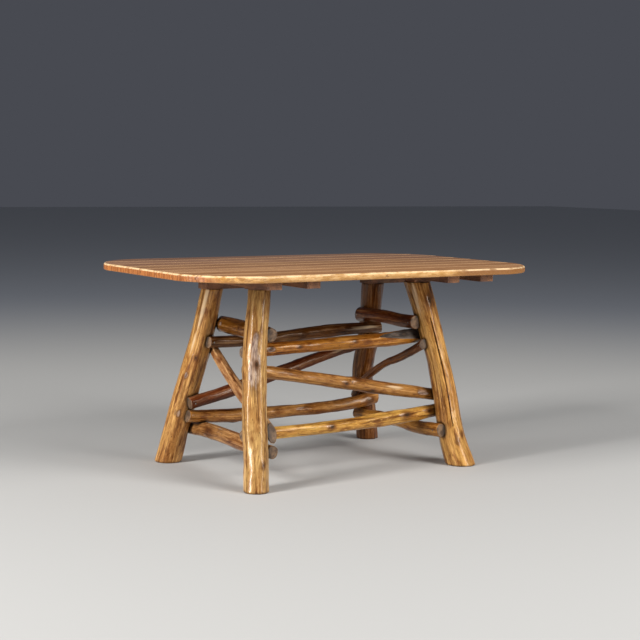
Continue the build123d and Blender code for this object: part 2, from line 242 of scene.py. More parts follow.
# Worn spots, where the varnish has gone grey: a place, half the length, half the width, and
# how worn the middle is.
WORN = {
    "leg_front_left": [((-436, -252, 430), 112, 21, 1.0), ((-418, -226, 520), 34, 14, 0.9)],
    "leg_back_left": [((-475, 224, 194), 30, 20, 0.66), ((-455, 196, 341), 26, 13, 0.6)],
    "leg_front_right": [((430, -318, 90), 40, 14, 0.9)],
    "rail_front_middle": [((354, -205, 273), 34, 13, 1.0)],
    "rail_left_lower": [((-396, 40, 150), 40, 12, 0.9)],
    "rail_left_upper": [((-356, 118, 540), 20, 14, 0.7)],
    "rail_right_upper": [((304, 176, 535), 16, 16, 0.6)],
    "rail_front_upper": [((-316, -168, 472), 24, 12, 0.9)],
}
# Painted highlights: pale lengthwise streaks where the varnish catches the light, laid on as
# colour: a place, half the length, half the width, and how strong the middle is.
PAINTED_GLEAMS = {
    "leg_front_right": [((334, -173, 630), 95, 9, 1.0)],
    "leg_back_left": [((-415, 141, 612), 120, 10, 1.0), ((-438, 176, 470), 60, 8, 0.9)],
    "rail_back_upper": [((262, 129, 489), 125, 9, 1.0)],
    "rail_back_diagonal": [((208, 156, 402), 62, 8, 1.0)],
    "rail_back_lower": [((292, 201, 172), 80, 9, 1.0)],
    "rail_front_middle": [((222, -200, 300), 60, 7, 0.9)],
    "rail_left_lower": [((-402, 20, 146), 70, 8, 0.9)],
}
# How each rail is sawn off at its start and end: which way the cut faces.
SAWN = {
    "rail_front_upper": ((-0.93, -0.30, 0.20), (0.96, 0.05, 0.28)),
    "rail_front_middle": ((-0.97, -0.10, 0.20), (0.98, -0.12, -0.12)),
    "rail_front_lower": ((-0.93, -0.36, 0.06), (0.98, -0.10, 0.12)),
    "rail_back_upper": ((-0.98, -0.10, 0.12), (0.90, -0.40, 0.16)),
    "rail_back_diagonal": ((-0.98, 0.02, -0.20), (0.97, 0.10, 0.20)),
    "rail_back_lower": ((-0.98, 0.04, 0.18), (0.95, -0.28, -0.10)),
    "rail_left_upper": ((-0.12, -0.99, 0.05), (-0.36, 0.92, 0.14)),
    "rail_left_diagonal": ((0.05, -0.87, 0.49), (-0.20, 0.97, 0.12)),
    "rail_left_lower": ((0.12, -0.99, 0.05), (-0.20, 0.96, 0.18)),
    "rail_right_upper": ((0.14, -0.98, 0.10), (-0.34, 0.93, 0.12)),
    "rail_right_diagonal": ((-0.25, -0.96, 0.10), (-0.10, 0.98, -0.16)),
    "rail_right_lower": ((0.16, -0.98, 0.10), (-0.36, 0.93, 0.05)),
}
# A long face hewn along the top of a rail's end: where it starts, and which way it faces.
HEWN = {"rail_front_upper": ((214, -155, 493), (0.068, -0.78, 0.62))}
# A drying check down a leg: a place on it, and the heights where it starts and ends.
CHECKS = {"leg_front_right": ((404, -267, 344), 560, 150)}
# The warm and the cool tone in each board of the top, from the front to the back.
BOARD_TONES = [
    ("#BC8E62", "#A5764E"),
    ("#B58860", "#9E7049"),
    ("#B68A64", "#A27752"),
    ("#A57B58", "#916749"),
    ("#A8805E", "#946C4D"),
    ("#9C765C", "#88634E"),
    ("#9A7660", "#866450"),
    ("#8C6C5A", "#795A49"),
]
# The colour of each pole under its varnish. The dark brown poles under the top, at the back
# and on the right are set darker partly as painted shade from the top and the other poles.
VARNISH_AND_SHADE = {
    "leg_back_left": "#B4864A",
    "leg_front_left": "#B08B54",
    "leg_front_right": "#B78949",
    "leg_back_right": "#68380B",
    "rail_front_upper": "#A0681C",
    "rail_front_middle": "#9A6A32",
    "rail_front_lower": "#CB9D4B",
    "rail_back_upper": "#56300E",
    "rail_back_diagonal": "#602A0E",
    "rail_back_lower": "#A26E33",
    "rail_left_upper": "#663C0B",
    "rail_left_diagonal": "#AA8359",
    "rail_left_lower": "#8E6439",
    "rail_right_upper": "#68350A",
    "rail_right_diagonal": "#6C3C12",
    "rail_right_lower": "#A6722F",
}


# ---- growing a pole --------------------------------------------------------------------
# A log's mesh rings lie this far apart, and it has this much spare length at each end.
RING_GAP = 5.5 * MM
SPARE = 60 * MM
# The grain of each tree is read this many metres from the last one's, so no two are alike.
TREE_APART = 3.0
# How many sides a log's mesh has, and the numbers of the first trees.
LEG_SIDES = 64
RAIL_SIDES = 44
FIRST_LEG_TREE = 1
FIRST_RAIL_TREE = 11
SMOOTH_ANGLE = radians(42)
# Lumps of the skin: their name, their length and width in metres, and their depth.
LUMPS = (
    ("swells", (0.15, 0.045), 7.0 * MM),
    ("knife_ridges", (0.40, 0.015), 3.0 * MM),
    ("dents", (0.032, 0.014), 1.4 * MM),
)
# Points of a saw cut's outline nearer than this are merged, and its rim is eased in steps: how
# far each goes in, and how far it rises.
RIM_SPACING = 1.6 * MM
RIM_STEPS = ((0.9 * MM, 1.5 * MM), (1.3 * MM, 0.8 * MM), (2.0 * MM, 0.3 * MM))
# A knot's lift and dimple: how far the skin moves and how wide, in widths of the knot.
KNOT_PULLS = ((0.30, 3.2), (-0.20, 0.9))
# A knot marks the skin out to this many of its widths, its mark is drawn out along the grain,
# and a point that no knot reaches gets a place far away.
KNOT_REACH = 2.6
KNOT_LENGTHWISE = 0.6
FAR_FROM_KNOT = (9.0, 9.0, 9.0)
# The knots of each tree's own choosing: how many, how wide as a share of the pole's radius, and
# the best-seen side, which they stay off.
UNSEEN_KNOTS = 4
UNSEEN_KNOT_SHARE = (0.15, 0.30)
SEEN_SIDE = Vector((-0.57, -0.82, 0.0))
FACES_AWAY = 0.1
# A drying check: how near its line of grain a point counts as on it, in radians, half its
# width, and how deep each step goes and over which share of its length.
ON_LINE = 0.01
CHECK_HALF_WIDTH = 2.2 * MM
CHECK_STEP = 3.0 * MM
CHECK_SHARES = (1.0, 0.86, 0.66)
# How far painted shade reaches from a joint, and how far from the floor it counts at the floor itself.
SHADE_REACH = 26 * MM
FLOOR_GAP = 3 * MM
# The numbers of a bounding box's lowest and highest corners.
LOWEST, HIGHEST = 0, 6


def choose(pole, part, wanted):
    """Selects, in object mode, the vertices, edges or faces that `wanted` says yes to."""
    bpy.ops.object.mode_set(mode="EDIT")
    bpy.ops.mesh.select_mode(type={"vertices": "VERT", "edges": "EDGE", "polygons": "FACE"}[part])
    bpy.ops.mesh.select_all(action="DESELECT")
    bpy.ops.object.mode_set(mode="OBJECT")
    for item in getattr(pole.data, part):
        item.select = wanted(item)


def lengthwise_lumps(pole, name, size, depth, offset):
    """Pushes the skin in and out by up to half of `depth`, in lumps of `size` along and across."""
    ruler = bpy.data.objects.new(name, None)
    bpy.context.scene.collection.objects.link(ruler)
    ruler.location = offset
    ruler.scale = (size[0], size[1], size[1])
    bpy.context.view_layer.update()
    texture = bpy.data.textures.new(name, "CLOUDS")
    texture.noise_scale = 1.0
    texture.noise_depth = 1
    lumps = pole.modifiers.new(name, "DISPLACE")
    lumps.texture = texture
    lumps.texture_coords = "OBJECT"
    lumps.texture_coords_object = ruler
    lumps.strength = depth
    lumps.mid_level = 0.5
    bpy.ops.object.modifier_apply(modifier=lumps.name)
    bpy.data.objects.remove(ruler)
    bpy.data.textures.remove(texture)


def grown_path(name, route, radii, log_radius):
    """A curve through the pole's stations, whose radius swells as the pole does."""
    curve = bpy.data.curves.new(name, "CURVE")
    curve.dimensions = "3D"
    curve.resolution_u = 24
    curve.twist_mode = "MINIMUM"
    curve.use_radius = True
    spline = curve.splines.new("BEZIER")
    spline.bezier_points.add(len(route) - 1)
    spline.radius_interpolation = "CARDINAL"
    for point, place, radius in zip(spline.bezier_points, route, radii):
        point.co = place
        point.radius = radius / log_radius
        point.handle_left_type = "AUTO"
        point.handle_right_type = "AUTO"
    path = bpy.data.objects.new(name, curve)
    bpy.context.scene.collection.objects.link(path)
    bpy.context.view_layer.update()
    return path


def turn_log(name, radius, length, sides):
    """A plain round log along X, with rings close enough together to take the lumps."""
    bpy.ops.mesh.primitive_cylinder_add(
        vertices=sides,
        radius=radius,
        depth=length + 2 * SPARE,
        location=(length / 2, 0, 0),
        rotation=(0, pi / 2, 0),
    )
    log = bpy.context.object
    log.name = name
    log.data.name = name
    bpy.ops.object.transform_apply(location=True, rotation=True, scale=True)
    points = log.data.vertices
    spans = [abs(points[edge.vertices[0]].co.x - points[edge.vertices[1]].co.x) for edge in log.data.edges]
    choose(log, "edges", lambda edge: spans[edge.index] > length)
    bpy.ops.object.mode_set(mode="EDIT")
    bpy.ops.mesh.subdivide(number_cuts=int((length + 2 * SPARE) / RING_GAP))
    bpy.ops.object.mode_set(mode="OBJECT")
    return log


def saw(pole, place, outward, finish):
    """Saws off what lies past a plane, eases the rim of the cut, and gives the cut a finish."""
    ease = sum(depth for thickness, depth in RIM_STEPS)
    bpy.ops.object.mode_set(mode="EDIT")
    bpy.ops.mesh.select_mode(type="VERT")
    bpy.ops.mesh.select_all(action="SELECT")
    bpy.ops.mesh.bisect(
        plane_co=place - outward * ease, plane_no=outward, use_fill=True, clear_outer=True
    )
    bpy.ops.mesh.remove_doubles(threshold=RIM_SPACING)
    bpy.ops.mesh.select_mode(type="FACE")
    for thickness, depth in RIM_STEPS:
        bpy.ops.mesh.inset(thickness=thickness, depth=depth, use_even_offset=False)
        bpy.ops.object.mode_set(mode="OBJECT")
        for face in pole.data.polygons:
            if face.select:
                face.material_index = finish
        bpy.ops.object.mode_set(mode="EDIT")
    bpy.ops.object.mode_set(mode="OBJECT")
    inset = sum(thickness for thickness, depth in RIM_STEPS)
    grain = pole.data.attributes["grain"].data
    for face in pole.data.polygons:
        if face.select:
            for index in face.vertices:
                along, side, up = grain[index].vector
                shrink = 1 - inset / max(hypot(side, up), inset)
                grain[index].vector = (along, side * shrink, up * shrink)


def swell_knots(pole, knots):
    """Lifts the skin round each knot, with a small dimple in its middle."""
    finder = KDTree(len(pole.data.vertices))
    for vertex in pole.data.vertices:
        finder.insert(vertex.co, vertex.index)
    finder.balance()
    for place, width in knots:
        middle = finder.find(place)[1]
        choose(pole, "vertices", lambda vertex: vertex.index == middle)
        bpy.ops.object.mode_set(mode="EDIT")
        for lift, reach in KNOT_PULLS:
            bpy.ops.transform.shrink_fatten(
                value=lift * width,
                use_proportional_edit=True,
                proportional_edit_falloff="SMOOTH",
                proportional_size=reach * width,
            )
        bpy.ops.object.mode_set(mode="OBJECT")


def patchiness(pole, along, patches):
    """How deep each point of a pole lies inside the listed patches."""
    depths = [-1.0] * len(pole.data.vertices)
    for index, vertex in enumerate(pole.data.vertices):
        for place, half_length, half_width, middle in patches:
            away = vertex.co - place
            length = away.dot(along)
            width = (away - along * length).length
            depth = middle - hypot(length / half_length, width / half_width)
            depths[index] = max(depths[index], depth)
    return depths


def mark_skin(pole, along, knots, marks):
    """Writes where each point lies from its nearest knot, how worn it is, and how deep it lies in a
    painted highlight streak.
    """
    from_knot = [FAR_FROM_KNOT] * len(pole.data.vertices)
    for index, vertex in enumerate(pole.data.vertices):
        nearest = KNOT_REACH
        for place, width in knots:
            away = vertex.co - place
            lengthwise = along * away.dot(along)
            away = (away - lengthwise + lengthwise * KNOT_LENGTHWISE) / width
            if away.length < nearest:
                nearest = away.length
                from_knot[index] = tuple(away)
    layer = pole.data.attributes.new("from_knot", "FLOAT_VECTOR", "POINT")
    layer.data.foreach_set("vector", [number for row in from_knot for number in row])
    for name, patches in marks.items():
        layer = pole.data.attributes.new(name, "FLOAT", "POINT")
        layer.data.foreach_set("value", patchiness(pole, along, patches))


def grain_lines(pole):
    """The bearing, round the log, of the line of grain that each point lies on."""
    return [atan2(place.vector[2], place.vector[1]) for place in pole.data.attributes["grain"].data]


def open_check(pole, place, top, bottom):
    """Opens a drying check: a cleft along one line of the grain between two heights."""
    start = min(pole.data.vertices, key=lambda vertex: (vertex.co - place).length).index
    lines = grain_lines(pole)
    line = lines[start]
    heights = [vertex.co.z for vertex in pole.data.vertices]
    inside = [abs(at - line) < ON_LINE and bottom < z < top for at, z in zip(lines, heights)]
    choose(pole, "edges", lambda edge: all(inside[index] for index in edge.vertices))
    bpy.ops.object.mode_set(mode="EDIT")
    bpy.ops.mesh.bevel(offset=CHECK_HALF_WIDTH, segments=2, profile=0.5, affect="EDGES")
    bpy.ops.object.mode_set(mode="OBJECT")
    lines = grain_lines(pole)
    heights = [vertex.co.z for vertex in pole.data.vertices]
    for share in CHECK_SHARES:
        low = bottom + (top - bottom) * (1 - share) / 2
        high = top - (top - bottom) * (1 - share) / 2
        inside = [abs(at - line) < ON_LINE and low < z < high for at, z in zip(lines, heights)]
        choose(pole, "vertices", lambda vertex: inside[vertex.index])
        bpy.ops.object.mode_set(mode="EDIT")
        bpy.ops.transform.shrink_fatten(value=-CHECK_STEP)
        bpy.ops.object.mode_set(mode="OBJECT")
    cleft_shade = pole.data.attributes.new("cleft_shade", "FLOAT", "POINT")
    inside = [abs(at - line) < ON_LINE and bottom < z < top for at, z in zip(lines, heights)]
    cleft_shade.data.foreach_set("value", [float(deep) for deep in inside])


def unseen_knots(pole, seed, count, radius):
    """A few more knots, at places of the tree's own choosing, away from its best-seen side."""
    chance = Random(seed)
    knots = []
    while len(knots) < count:
        vertex = chance.choice(pole.data.vertices)
        width = chance.uniform(*UNSEEN_KNOT_SHARE) * radius
        if vertex.normal.dot(SEEN_SIDE) < FACES_AWAY:
            knots.append((vertex.co.copy(), width))
    return knots


def grow_pole(name, node, route, radii, cuts, sides, tree_number):
    """A peeled pole along a route: a log, given its lumps, bent to the route and sawn to length."""
    log_radius = sum(radii) / len(radii)
    path = grown_path(name + "_path", route, radii, log_radius)
    length = path.data.splines[0].calc_length()
    pole = turn_log(name, log_radius, length, sides)

    grain = pole.data.attributes.new("grain", "FLOAT_VECTOR", "POINT")
    shift = Vector((TREE_APART * tree_number, 0, 0))
    for vertex, place in zip(pole.data.vertices, grain.data):
        place.vector = vertex.co + shift
    for label, size, depth in LUMPS:
        lengthwise_lumps(pole, f"{name}_{label}", size, depth, -shift)

    bend = pole.modifiers.new("route", "CURVE")
    bend.object = path
    bend.deform_axis = "POS_X"
    bpy.ops.object.modifier_apply(modifier=bend.name)
    bpy.data.objects.remove(path)

    bpy.ops.object.mode_set(mode="EDIT")
    bpy.ops.mesh.select_all(action="SELECT")
    bpy.ops.mesh.normals_make_consistent(inside=False)
    bpy.ops.object.mode_set(mode="OBJECT")
    knots = [(Vector(place) * MM, width * MM) for place, width in KNOTS.get(node, [])]
    knots += unseen_knots(pole, tree_number, UNSEEN_KNOTS, log_radius)
    marks = {}
    for mark, patches in (("wear", WORN), ("gleam", PAINTED_GLEAMS)):
        marks[mark] = [
            (Vector(place) * MM, half_length * MM, half_width * MM, middle)
            for place, half_length, half_width, middle in patches.get(node, [])
        ]
    swell_knots(pole, knots)
    for place, outward, finish in cuts:
        saw(pole, place, outward.normalized(), finish)
    if node in CHECKS:
        place, top, bottom = CHECKS[node]
        open_check(pole, Vector(place) * MM, top * MM, bottom * MM)
    mark_skin(pole, (route[-1] - route[0]).normalized(), knots, marks)
    bpy.ops.object.shade_smooth_by_angle(angle=SMOOTH_ANGLE)
    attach(pole, "root")
    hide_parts(node)
    bpy.ops.object.select_all(action="DESELECT")
    return pole


# The material slots of a pole's cut faces. Slot 0 is its skin.
END_GRAIN, HEWN_FACE = 1, 2


def grow_leg(name, leg, tree_number):
    """A leg from the floor to its head block."""
    shoulder = UNDER_BATTENS - leg.block_depth
    heights = [station * shoulder for station in LEG_STATIONS]
    route = [leg_axis(leg, height) * MM for height in heights]
    radii = [radius * MM for radius in leg.radii]
    cuts = [
        (Vector((0, 0, 0)), Vector((0, 0, -1)), END_GRAIN),
        (Vector((0, 0, shoulder * MM)), Vector((0, 0, 1)), END_GRAIN),
    ]
    pole = grow_pole(f"peeled_{name}", name, route, radii, cuts, LEG_SIDES, tree_number)
    return pole


def grow_rail(name, rail, tree_number):
    """A rail, sawn off at both ends, and hewn where the maker took an axe to it."""
    count = len(rail.heights)
    stations = [rail_station(rail, index / (count - 1)) for index in range(count)]
    route = [middle * MM for middle, radius in stations]
    radii = [radius * MM for middle, radius in stations]
    start_faces, end_faces = SAWN[name]
    cuts = [
        (route[0], Vector(start_faces), END_GRAIN),
        (route[-1], Vector(end_faces), END_GRAIN),
    ]
    if name in HEWN:
        place, faces = HEWN[name]
        cuts.append((Vector(place) * MM, Vector(faces), HEWN_FACE))
    pole = grow_pole(f"peeled_{name}", name, route, radii, cuts, RAIL_SIDES, tree_number)
    return pole


def paint_joint_shade(poles):
    """Writes how near each point of a pole lies to the next pole or to the floor, for the painted shade in
    its joints and at its foot.
    """
    skins = {}
    for name, pole in poles.items():
        points = [vertex.co for vertex in pole.data.vertices]
        faces = [face.vertices for face in pole.data.polygons]
        skins[name] = BVHTree.FromPolygons(points, faces)
    corners = {name: [Vector(corner) for corner in pole.bound_box] for name, pole in poles.items()}
    for name, pole in poles.items():
        near = []
        for other in poles:
            gaps = []
            for axis in range(3):
                gaps.append(corners[name][LOWEST][axis] - corners[other][HIGHEST][axis])
                gaps.append(corners[other][LOWEST][axis] - corners[name][HIGHEST][axis])
            if other != name and max(gaps) < SHADE_REACH:
                near.append(skins[other])
        joint_shade = []
        for vertex in pole.data.vertices:
            closest = SHADE_REACH
            for skin in near:
                found = skin.find_nearest(vertex.co, closest)
                if found[0] is not None:
                    closest = min(closest, found[3])
            closest = min(closest, max(vertex.co.z, 0) + FLOOR_GAP)
            joint_shade.append(1 - closest / SHADE_REACH)
        layer = pole.data.attributes.new("joint_shade", "FLOAT", "POINT")
        layer.data.foreach_set("value", joint_shade)


# ---- materials -------------------------------------------------------------------------
# Hickory's pores are about 0.3 mm wide, too fine to show, so they are drawn 1.2 to 1.6 mm wide.
# Growth rings are drawn a little wider apart than in life for the same reason.
RING_WIDTH = 3.4 * MM
# How many lines of figure fit between the lowest and the highest value of a board's contours.
FIGURE_LINES = 85.0 / (2 * pi)
# Where the top's rounded edge starts to darken and is darkest, in metres: along the table to the
# right, down to its lower rim, where the darkening is painted shade, and along the table to its left
# corner.
DARKER_PART = (0.24, 0.34)
LOWER_EDGE_SHADE = (0.752, 0.741)
LEFT_CORNER = (-0.50, -0.56)
# Where painted shade on a leg's head, under the top, starts and is darkest, in metres above the floor.
HEAD_SHADE = (0.56, 0.69)


def peeled_hickory():
    """Peeled hickory pole under amber varnish: honey wood with brown cambium left in soft
    mottles, pale knife streaks, dark flecks and drying checks, heads darkened by painted shade
    under the top, pale streaks of painted highlight, patches worn grey, painted shade in the
    joints, at the foot and inside the drying check, and a lengthwise shine."""
    material, tree = new_material("peeled_hickory_varnished")
    grain = add_node(tree, "Attribute", output="Vector", attribute_name="grain")
    drift = blotches(tree, grain, (240, 50, 50), 2.0, offset=(4, 2, 6))
    mottle = blotches(tree, grain, (70, 19, 19), 5.0, 0.60)
    streak = blotches(tree, grain, (240, 9.5, 9.5), 3.0, offset=(3, 1, 2))
    pores = blotches(tree, grain, (50, 1.6, 1.6), 2.0, offset=(7, 5, 1))
    fleck = blotches(tree, grain, (13, 4.5, 4.5), 2.0, offset=(2, 8, 4))
    curl = blotches(tree, grain, (26, 5.2, 5.2), 3.0, 0.6, offset=(5, 7, 2))
    check = blotches(tree, grain, (85, 2.4, 2.4), 2.0, 0.4, offset=(1, 3, 9))
    place = add_node(tree, "TexCoord", output="Object")
    level = add_node(tree, "SeparateXYZ", (place,), output="Z")
    varnish_and_shade = add_node(tree, "Attribute", output="Color", attribute_name="varnish_and_shade")
    bright = add_node(tree, "Mix", {0: 0.55, 6: varnish_and_shade, 7: varnish_and_shade}, blend_type="ADD", **COLOURS)
    bright = add_node(tree, "Mix", {0: 0.16, 6: bright, 7: "#F2D09A"}, **COLOURS)
    colour = coated(
        tree,
        varnish_and_shade,
        (drift, 0.42, 0.62, 0.55, "#C9A07C", "MULTIPLY"),
        (streak, 0.50, 0.68, 0.84, bright),
        (mottle, 0.47, 0.68, 0.80, "#9A6C48", "MULTIPLY"),
        (streak, 0.45, 0.30, 0.85, "#7C5234", "MULTIPLY"),
        (curl, 0.50, 0.34, 0.40, "#83583A", "MULTIPLY"),
        (curl, 0.56, 0.70, 0.42, bright),
        (pores, 0.46, 0.28, 0.40, "#6A4228", "MULTIPLY"),
        # Painted shade: the heads darken under the top.
        (level, *HEAD_SHADE, 0.36, "#96704C", "MULTIPLY"),
        (fleck, 0.66, 0.74, 0.80, "#3A2112"),
        (check, 0.31, 0.25, 0.85, "#2C180B"),
    )

    # Worn patches and painted highlight streaks have ragged edges that follow the streaks and mottles.
    ragged = add_node(tree, "Math", (streak, 1.1, mottle), operation="MULTIPLY_ADD")
    marks = []
    for mark in ("wear", "gleam"):
        depth = add_node(tree, "Attribute", output="Fac", attribute_name=mark)
        depth = add_node(tree, "Math", (depth, ragged), operation="ADD")
        marks.append(add_node(tree, "Math", (depth, 1.05), operation="SUBTRACT"))
    wear, gleam = marks
    # The pale streaks are painted highlights, broken up along the grain.
    gleam = add_node(tree, "MapRange", (gleam, -0.12, 0.55), **SOFTLY)
    broken = add_node(tree, "MapRange", (streak, 0.34, 0.60, 0.30, 0.62), **SOFTLY)
    gleam = add_node(tree, "Math", (gleam, broken), operation="MULTIPLY")
    colour = add_node(tree, "Mix", {0: gleam, 6: colour, 7: "#E9D0AA"}, **COLOURS)
    outer = add_node(tree, "MapRange", (wear, -0.10, 0.06), **SOFTLY)
    inner = add_node(tree, "MapRange", (wear, 0.24, 0.10), **SOFTLY)
    bare = add_node(tree, "MapRange", (wear, 0.06, 0.26), **SOFTLY)
    outline = add_node(tree, "Math", (outer, inner), operation="MULTIPLY")
    outline = add_node(tree, "Math", (outline, 0.6), operation="MULTIPLY")
    faded = coated(tree, "#5C4C4A", (curl, 0.36, 0.64, 1.0, "#A3948C"))
    thin = add_node(tree, "MapRange", (streak, 0.36, 0.60, 0.45, 0.88), **SOFTLY)
    thin = add_node(tree, "Math", (bare, thin), operation="MULTIPLY")
    colour = add_node(tree, "Mix", {0: thin, 6: colour, 7: faded}, **COLOURS)
    colour = add_node(tree, "Mix", {0: outline, 6: colour, 7: "#5A3A22"}, **COLOURS)

    ripple = add_node(tree, "Math", (mottle, 0.5), operation="SUBTRACT")
    ripple = add_node(tree, "Math", (ripple, 0.7), operation="MULTIPLY")
    from_knot = add_node(tree, "Attribute", output="Vector", attribute_name="from_knot")
    from_knot = add_node(tree, "VectorMath", (from_knot,), output="Value", operation="LENGTH")
    knot = add_node(tree, "Math", (from_knot, ripple), operation="ADD")
    # Painted shade where a pole meets the next pole or nears the floor, broken up by the mottles.
    joint_shade = add_node(tree, "Attribute", output="Fac", attribute_name="joint_shade")
    dirt = add_node(tree, "Math", (mottle, 0.3, joint_shade), operation="MULTIPLY_ADD")
    colour = coated(
        tree,
        colour,
        (knot, 2.0, 0.8, 0.65, "#8A5A34", "MULTIPLY"),
        (knot, 1.05, 0.68, 0.62, "#4A2A16"),
        (knot, 0.60, 0.34, 0.88, "#24130A"),
        (dirt, 0.62, 1.12, 0.92, "#2A190E"),
    )
    # Painted shade: the inside of the drying check is painted near black.
    cleft_shade = add_node(tree, "Attribute", output="Fac", attribute_name="cleft_shade")
    colour = add_node(tree, "Mix", {0: cleft_shade, 6: colour, 7: "#150B05"}, **COLOURS)

    gloss = add_node(tree, "MapRange", (streak, 0.3, 0.7, 0.30, 0.46), **SOFTLY)
    gloss = add_node(tree, "Math", (bare, 0.25, gloss), operation="MULTIPLY_ADD")
    relief = add_node(tree, "Math", (streak, 0.6), operation="MULTIPLY")
    relief = add_node(tree, "Math", (pores, 0.25, relief), operation="MULTIPLY_ADD")
    relief = add_node(tree, "Math", (mottle, 0.5, relief), operation="MULTIPLY_ADD")
    bump = add_node(tree, "Bump", {"Strength": 0.45, "Distance": 1.4 * MM, "Height": relief})
    shader = add_node(
        tree,
        "BsdfPrincipled",
        {
            "Base Color": colour,
            "Roughness": gloss,
            "Normal": bump,
            "Specular IOR Level": 0.3,
            "Specular Tint": "#FFCE92",
            "Coat Weight": 0.42,
            "Coat Roughness": 0.16,
        },
    )
    add_node(tree, "OutputMaterial", {"Surface": shader})
    return material


def sawn_end(name, dark, pale):
    """The sawn or hewn face of a pole, weathered grey: growth rings, dark checks that run in
    from the bark, dirt in the open pores, and painted shade, near black, where it meets the next pole."""
    material, tree = new_material(name)
    grain = add_node(tree, "Attribute", output="Vector", attribute_name="grain")
    across = add_node(tree, "VectorMath", (grain, (0, 1, 1)), operation="MULTIPLY")
    radius = add_node(tree, "VectorMath", (across,), output="Value", operation="LENGTH")
    bearing = add_node(tree, "VectorMath", (across,), operation="NORMALIZE")
    cloud = blotches(tree, grain, (50, 16, 16), 4.0, offset=(5, 2, 1))
    pores = blotches(tree, grain, (30, 1.4, 1.4), 2.0, offset=(2, 4, 3))
    # A bearing lies a metre from the middle, so 110 mm of it is about 6 degrees of turn.
    spoke = blotches(tree, bearing, (1000, 110, 110), 1.0)
    wobble = add_node(tree, "Math", (cloud, 6.0), operation="MULTIPLY")
    turns = add_node(tree, "Math", (radius, 2 * pi / RING_WIDTH, wobble), operation="MULTIPLY_ADD")
    ring = add_node(tree, "Math", (turns,), operation="SINE")
    joint_shade = add_node(tree, "Attribute", output="Fac", attribute_name="joint_shade")
    colour = coated(
        tree,
        dark,
        (cloud, 0.35, 0.65, 1.0, pale),
        (ring, 0.2, 1.0, 0.45, "#5E4836"),
        (pores, 0.42, 0.25, 0.55, "#3E2E24"),
        (spoke, 0.34, 0.27, 0.85, "#2A1D14"),
        # Painted shade, near black, where the cut meets the next pole.
        (joint_shade, 0.30, 0.98, 0.88, "#1A110A"),
    )
    relief = add_node(tree, "Math", (ring, 0.2, pores), operation="MULTIPLY_ADD")
    bump = add_node(tree, "Bump", {"Strength": 0.5, "Distance": 0.8 * MM, "Height": relief})
    shader = add_node(tree, "BsdfPrincipled", {"Base Color": colour, "Roughness": 0.62, "Normal": bump})
    add_node(tree, "OutputMaterial", {"Surface": shader})
    return material


